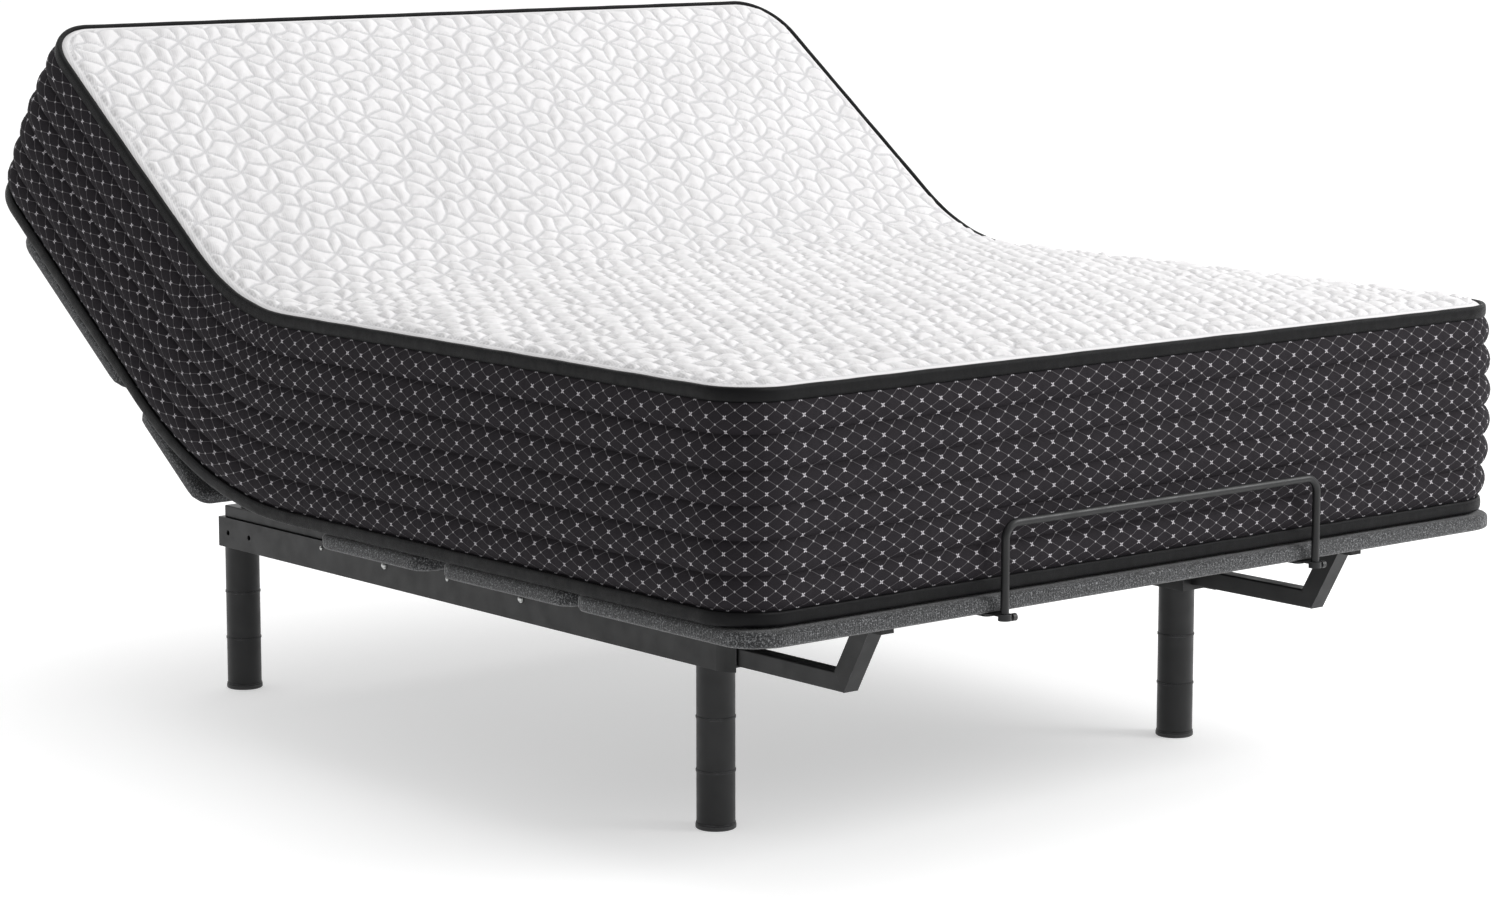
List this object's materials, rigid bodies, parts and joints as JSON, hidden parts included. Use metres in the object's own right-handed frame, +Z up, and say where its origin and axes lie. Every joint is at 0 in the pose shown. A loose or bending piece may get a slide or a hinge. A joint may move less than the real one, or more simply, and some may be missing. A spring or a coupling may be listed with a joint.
{
  "type": "adjustable bed base",
  "caption": "Adjustable bed base with padded lifting deck, steel frame, linear actuators, round legs and retainer bar, with a quilted mattress that bends as it moves.",
  "frame": {"origin": "middle of the footprint on the floor, with the head section raised as stored", "axes": "+Z up, +Y towards the head end, +X to the right when looking from the foot end towards the head end"},
  "size_m": [1.54, 2.0042, 1.1151],
  "materials": {
    "frame_paint": "satin",
    "deck_fabric": "matte",
    "mattress_top": "matte",
    "mattress_border": "matte",
    "mattress_binding": "matte",
    "zinc_steel": "satin",
    "black_rubber": "matte",
    "black_plastic": "matte",
    "actuator_plastic": "matte",
    "motor_paint": "satin",
    "tube_aluminium": "satin",
    "rod_steel": "satin"
  },
  "bodies": {
    "root": {"side_rail_right": "frame_paint", "side_rail_left": "frame_paint", "upper_rails": "frame_paint", "foot_cross_rail": "frame_paint", "head_cross_rail": "frame_paint", "rail_end_caps": "black_plastic", "rail_bolts": "zinc_steel", "outrigger_arms": "frame_paint", "outrigger_struts": "frame_paint", "deck_bumpers": "black_rubber", "leg_foot_left": "frame_paint", "leg_foot_right": "frame_paint", "leg_head_left": "frame_paint", "leg_head_right": "frame_paint", "leg_glides": "black_plastic", "seat_panel": "deck_fabric", "lumbar_panel": "deck_fabric", "deck_cross_tubes": "frame_paint", "deck_posts": "frame_paint", "hinge_brackets": "frame_paint", "hinge_pins": "zinc_steel", "head_rest_posts": "frame_paint", "link_pins": "zinc_steel", "actuator_cross_tubes": "frame_paint", "actuator_brackets": "frame_paint", "actuator_pins": "zinc_steel", "control_box": "black_plastic", "power_inlet": "black_plastic", "mattress_seat": "mattress_top"},
    "head_section": {"head_section_arms": "frame_paint", "head_section_tubes": "frame_paint", "head_crank": "frame_paint", "head_lower_panel": "deck_fabric", "head_upper_panel": "deck_fabric"},
    "thigh_section": {"thigh_section_arms": "frame_paint", "thigh_section_tubes": "frame_paint", "thigh_crank": "frame_paint", "knee_hinge_pins": "zinc_steel", "thigh_panel": "deck_fabric"},
    "foot_section": {"foot_section_arms": "frame_paint", "foot_section_tubes": "frame_paint", "foot_panel": "deck_fabric", "retainer_bar": "frame_paint", "retainer_brackets": "frame_paint", "retainer_knobs": "black_plastic"},
    "foot_links": {"foot_links": "frame_paint"},
    "head_actuator": {"head_actuator_housing": "actuator_plastic", "head_actuator_motor": "motor_paint", "head_actuator_tube": "tube_aluminium"},
    "head_rod": {"head_actuator_rod": "rod_steel"},
    "foot_actuator": {"foot_actuator_housing": "actuator_plastic", "foot_actuator_motor": "motor_paint", "foot_actuator_tube": "tube_aluminium"},
    "foot_rod": {"foot_actuator_rod": "rod_steel"},
    "mattress_lumbar": {"mattress_lumbar": "mattress_border"},
    "mattress_shoulder": {"mattress_shoulder": "mattress_border"},
    "mattress_head": {"mattress_head": "mattress_top"},
    "mattress_hip": {"mattress_hip": "mattress_binding"},
    "mattress_thigh": {"mattress_thigh": "mattress_border"},
    "mattress_foot": {"mattress_foot": "mattress_top"}
  },
  "joints": [
    {"name": "head_lift", "type": "hinge", "parent": "root", "child": "head_section", "pos_m": [0, 0.37436, 0.337], "axis": [1, 0, 0], "range_deg": [-35.7, 24.3]},
    {"name": "thigh_lift", "type": "hinge", "parent": "root", "child": "thigh_section", "pos_m": [0, -0.24764, 0.337], "axis": [-1, 0, 0], "range_deg": [0, 35]},
    {"name": "knee_bend", "type": "hinge", "parent": "thigh_section", "child": "foot_section", "pos_m": [0, -0.58164, 0.337], "axis": [1, 0, 0], "range_deg": [0, 45]},
    {"name": "foot_link_swing", "type": "hinge", "parent": "root", "child": "foot_links", "pos_m": [0, -0.27964, 0.28], "axis": [-1, 0, 0], "range_deg": [0, 24.84]},
    {"name": "head_actuator_swing", "type": "hinge", "parent": "root", "child": "head_actuator", "pos_m": [0.15, -0.08864, 0.268], "axis": [1, 0, 0], "range_deg": [-1.21, 0.85]},
    {"name": "head_rod_slide", "type": "slide", "parent": "head_actuator", "child": "head_rod", "axis": [0, 0.9999, -0.0165], "range_m": [-0.04788, 0.03291]},
    {"name": "foot_actuator_swing", "type": "hinge", "parent": "root", "child": "foot_actuator", "pos_m": [-0.15, 0.24636, 0.268], "axis": [-1, 0, 0], "range_deg": [-0.1, 0.422]},
    {"name": "foot_rod_slide", "type": "slide", "parent": "foot_actuator", "child": "foot_rod", "axis": [0, -0.9998, -0.0175], "range_m": [-0.001, 0.04903]},
    {"name": "mattress_lumbar_bend", "type": "hinge", "parent": "root", "child": "mattress_lumbar", "pos_m": [0, 0.26186, 0.306], "axis": [1, 0, 0], "range_deg": [-17.9, 12.2]},
    {"name": "mattress_shoulder_bend", "type": "hinge", "parent": "mattress_lumbar", "child": "mattress_shoulder", "pos_m": [0, 0.47603, 0.37497], "axis": [1, 0, 0], "range_deg": [-17.9, 12.2]},
    {"name": "mattress_creep", "type": "slide", "parent": "mattress_shoulder", "child": "mattress_head", "axis": [0, 0.8121, 0.5835], "range_m": [-0.1105, 0.07537]},
    {"name": "mattress_hip_bend", "type": "hinge", "parent": "root", "child": "mattress_hip", "pos_m": [0, -0.17264, 0.3245], "axis": [-1, 0, 0], "range_deg": [0, 17.55]},
    {"name": "mattress_thigh_bend", "type": "hinge", "parent": "mattress_hip", "child": "mattress_thigh", "pos_m": [0, -0.32264, 0.3245], "axis": [-1, 0, 0], "range_deg": [0, 17.55]},
    {"name": "mattress_knee_bend", "type": "hinge", "parent": "mattress_thigh", "child": "mattress_foot", "pos_m": [0, -0.58164, 0.337], "axis": [1, 0, 0], "range_deg": [0, 45.05]}
  ],
  "couplings": [
    {"joint": "knee_bend", "follows": "thigh_lift", "ratio": 1.2857},
    {"joint": "foot_link_swing", "follows": "thigh_lift", "ratio": 0.704},
    {"joint": "head_actuator_swing", "follows": "head_lift", "ratio": 0.031},
    {"joint": "head_rod_slide", "follows": "head_lift", "m_per_rad": 0.075247},
    {"joint": "foot_actuator_swing", "follows": "thigh_lift", "ratio": 0.0092},
    {"joint": "foot_rod_slide", "follows": "thigh_lift", "m_per_rad": 0.078628},
    {"joint": "mattress_lumbar_bend", "follows": "head_lift", "ratio": 0.5},
    {"joint": "mattress_shoulder_bend", "follows": "head_lift", "ratio": 0.5},
    {"joint": "mattress_creep", "follows": "head_lift", "m_per_rad": 0.17654},
    {"joint": "mattress_hip_bend", "follows": "thigh_lift", "ratio": 0.5},
    {"joint": "mattress_thigh_bend", "follows": "thigh_lift", "ratio": 0.5},
    {"joint": "mattress_knee_bend", "follows": "thigh_lift", "ratio": 1.2857}
  ]
}
